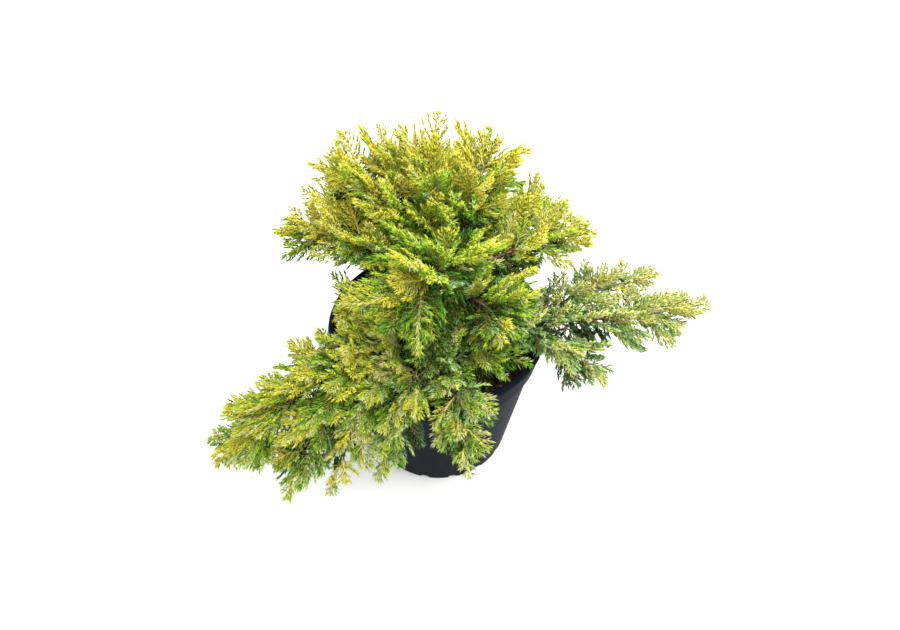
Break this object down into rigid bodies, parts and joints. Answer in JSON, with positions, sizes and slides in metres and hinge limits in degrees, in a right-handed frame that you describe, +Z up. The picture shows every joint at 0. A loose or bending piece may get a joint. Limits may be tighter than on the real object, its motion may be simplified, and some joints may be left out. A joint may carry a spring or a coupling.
{
  "type": "potted spreading juniper shrub",
  "caption": "Low, spreading evergreen shrub with arching boughs and feathery needle foliage, in a round tapered nursery pot.",
  "frame": {"origin": "middle of the pot's flat underside", "axes": "+Z up along the pot's axis, +Y towards the plant's back, +X towards the long bough on its right as seen from the front"},
  "size_m": [0.5612, 0.4342, 0.4243],
  "materials": {
    "pot": "blue-black moulded plastic, satin",
    "potting_soil": "moist, crumbly potting compost, matte",
    "bark": "thin reddish-brown bark, matte",
    "foliage": "golden to green needles, satin"
  },
  "bodies": {
    "root": {"bough_back_left": "bark", "bough_back_middle": "bark", "bough_back_right": "bark", "bough_foot_back": "bark", "bough_foot_front": "bark", "bough_foot_left": "bark", "bough_front_crown": "bark", "bough_front_left": "bark", "bough_front_low": "bark", "bough_front_right": "bark", "bough_left_back": "bark", "bough_left_front": "bark", "bough_left_long": "bark", "bough_left_middle": "bark", "bough_left_upper": "bark", "bough_right_back": "bark", "bough_right_long": "bark", "bough_right_low": "bark", "bough_right_upper": "bark", "bough_top_back": "bark", "bough_top_left": "bark", "bough_top_middle": "bark", "bough_top_right": "bark", "foliage_back_left": "foliage", "foliage_back_middle": "foliage", "foliage_back_right": "foliage", "foliage_foot_back": "foliage", "foliage_foot_front": "foliage", "foliage_foot_left": "foliage", "foliage_front_crown": "foliage", "foliage_front_left": "foliage", "foliage_front_low": "foliage", "foliage_front_right": "foliage", "foliage_left_back": "foliage", "foliage_left_front": "foliage", "foliage_left_long": "foliage", "foliage_left_middle": "foliage", "foliage_left_upper": "foliage", "foliage_right_back": "foliage", "foliage_right_long": "foliage", "foliage_right_low": "foliage", "foliage_right_upper": "foliage", "foliage_top_back": "foliage", "foliage_top_left": "foliage", "foliage_top_middle": "foliage", "foliage_top_right": "foliage", "pot": "pot", "potting_soil": "potting_soil", "trunk": "bark"}
  },
  "joints": []
}
